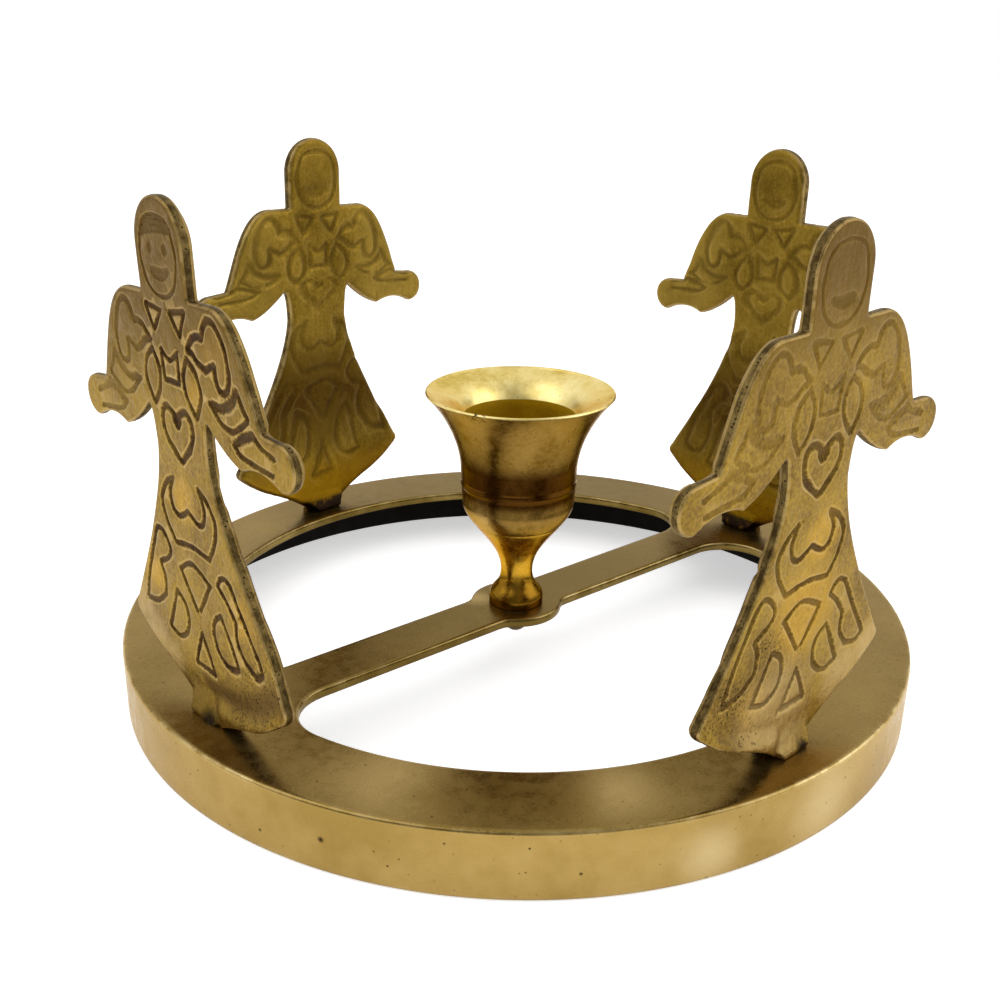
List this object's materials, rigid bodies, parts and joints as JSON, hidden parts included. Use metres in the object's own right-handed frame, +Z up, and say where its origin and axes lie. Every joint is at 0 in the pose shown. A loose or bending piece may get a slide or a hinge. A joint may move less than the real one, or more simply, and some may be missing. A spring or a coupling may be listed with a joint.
{
  "type": "taper candle holder",
  "caption": "Aged brass taper candle holder: flat engraved angels stand on a flanged ring around a flared candle cup on a crossbar.",
  "frame": {"origin": "centre of the ring's underside, on the table", "axes": "+Z up along the candle's axis, X along the crossbar"},
  "size_m": [0.17, 0.17, 0.1078],
  "materials": {
    "cast_brass": "satin cast brass with olive-brown tarnish",
    "relief_brass": "matt cast brass, worn golden on the high parts and dark brown in the grooves",
    "turned_brass": "turned and polished brass, reddish gold",
    "screw_brass": "dull brass"
  },
  "bodies": {
    "root": {"base_ring": "cast_brass", "candle_cup": "turned_brass", "cup_screw": "screw_brass", "angel_1": "relief_brass", "angel_2": "relief_brass", "angel_3": "relief_brass", "angel_4": "relief_brass", "angel_screw_1": "screw_brass", "angel_screw_2": "screw_brass", "angel_screw_3": "screw_brass", "angel_screw_4": "screw_brass"}
  },
  "joints": []
}
